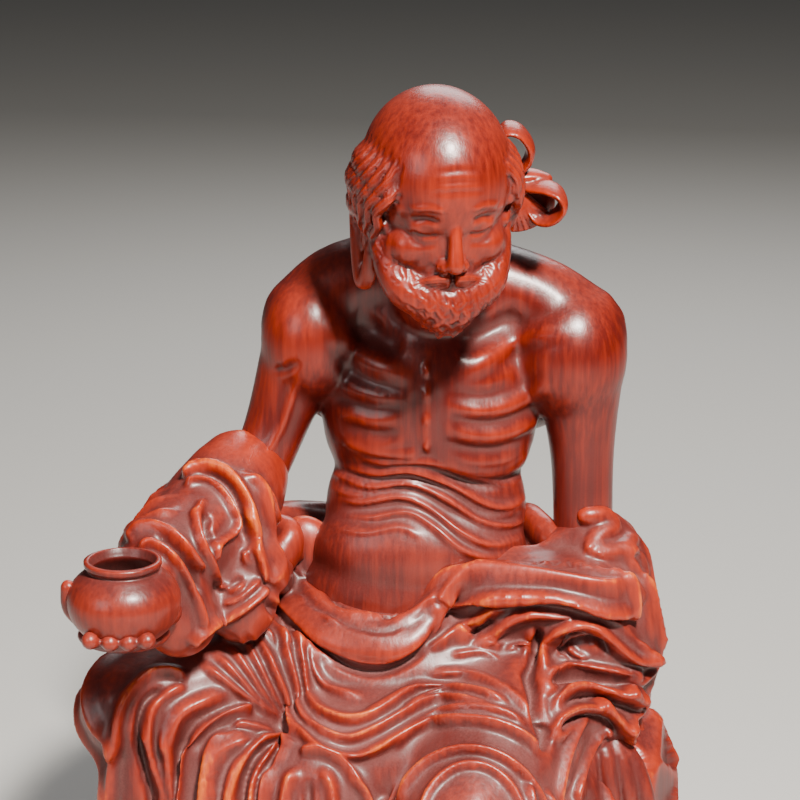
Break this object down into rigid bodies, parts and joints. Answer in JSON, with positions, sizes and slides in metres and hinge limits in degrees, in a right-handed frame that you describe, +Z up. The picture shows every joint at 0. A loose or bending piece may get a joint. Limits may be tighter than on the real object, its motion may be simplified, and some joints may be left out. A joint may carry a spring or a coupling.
{
  "type": "seated ascetic statue",
  "caption": "Carved boxwood figure of a seated, bearded, bald ascetic in a draped robe, holding a hollow alms bowl, on a low rock base.",
  "frame": {"origin": "on the flat underside, below the middle of the seat", "axes": "+Z up, the figure faces -Y, +X is the figure's left"},
  "size_m": [0.1397, 0.112, 0.2014],
  "materials": {
    "wood": "stained dark red-brown, polished, worn to orange on the crests, with pale dust in the folds"
  },
  "bodies": {
    "root": {"statue": "wood"}
  },
  "joints": []
}
